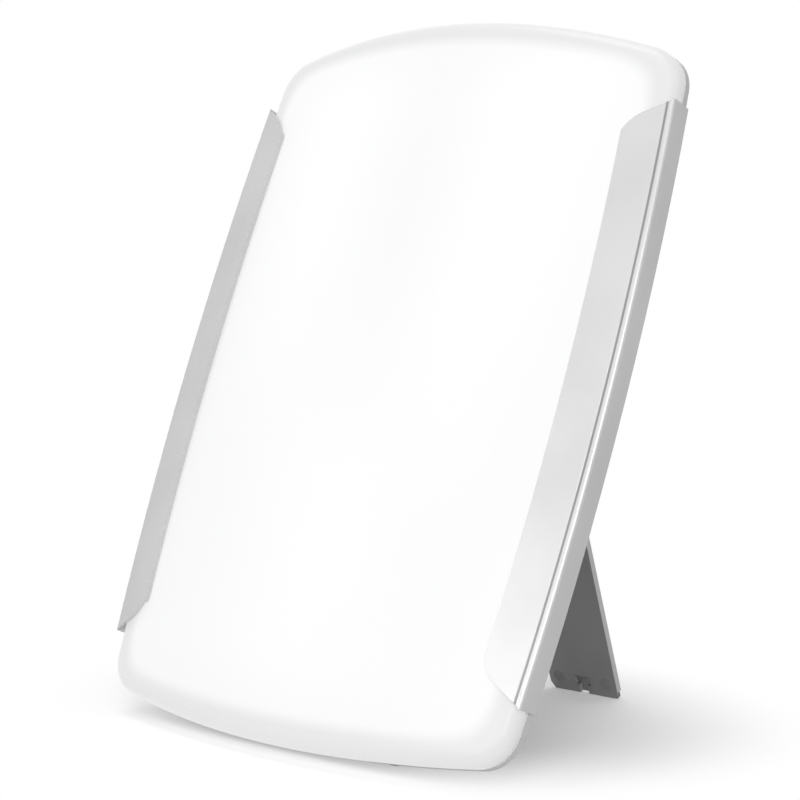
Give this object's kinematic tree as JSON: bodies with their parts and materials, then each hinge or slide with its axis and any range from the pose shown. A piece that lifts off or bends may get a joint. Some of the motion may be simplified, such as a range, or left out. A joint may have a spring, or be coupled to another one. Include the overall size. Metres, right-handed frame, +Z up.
{
  "type": "light therapy lamp",
  "caption": "Free-standing light therapy panel with a crowned translucent front, silver side rails, a grey housing and a fold-out rear leg.",
  "frame": {"origin": "on the floor under the middle of the whole object", "axes": "+Z up, -Y out of the lit front, +X to the right as seen from the front"},
  "size_m": [0.3464, 0.3326, 0.4511],
  "materials": {
    "diffuser_acrylic": "satin translucent",
    "housing_grey": "fine satin",
    "rail_silver": "satin silver paint",
    "reflector_white": "white gloss coat",
    "zinc_screw": "zinc plated",
    "lamp_glass": "white coated glass",
    "lamp_base_white": "moulded",
    "clip_steel": "spring steel",
    "ballast_case": "plain",
    "switch_black": "moulded",
    "leg_grey": "satin grey paint",
    "foot_rubber": "moulded"
  },
  "bodies": {
    "panel": {"ballast": "ballast_case", "ballast_screws": "zinc_screw", "base_feet": "foot_rubber", "diffuser": "diffuser_acrylic", "hinge_brackets": "clip_steel", "hinge_pin": "clip_steel", "housing_screws": "zinc_screw", "lamp_1_base": "lamp_base_white", "lamp_1_tubes": "lamp_glass", "lamp_2_base": "lamp_base_white", "lamp_2_tubes": "lamp_glass", "lamp_clip_1": "clip_steel", "lamp_clip_2": "clip_steel", "lampholder_1": "lamp_base_white", "lampholder_2": "lamp_base_white", "left_rail": "rail_silver", "mains_inlet": "switch_black", "rear_housing": "housing_grey", "reflector": "reflector_white", "reflector_screws": "zinc_screw", "right_rail": "rail_silver", "switch_frame": "switch_black"},
    "leg": {"leg": "leg_grey", "leg_feet": "foot_rubber"},
    "rocker": {"switch_rocker": "switch_black"}
  },
  "joints": [
    {"name": "leg_fold", "type": "hinge", "parent": "panel", "child": "leg", "pos_m": [0, 0.01137, 0.34578], "axis": [-1, 0, 0], "range_deg": [0, 43.4]},
    {"name": "rocker_tip", "type": "hinge", "parent": "panel", "child": "rocker", "pos_m": [-0.085, -0.07421, 0.10482], "axis": [1, 0, 0], "range_deg": [0, 14]}
  ]
}
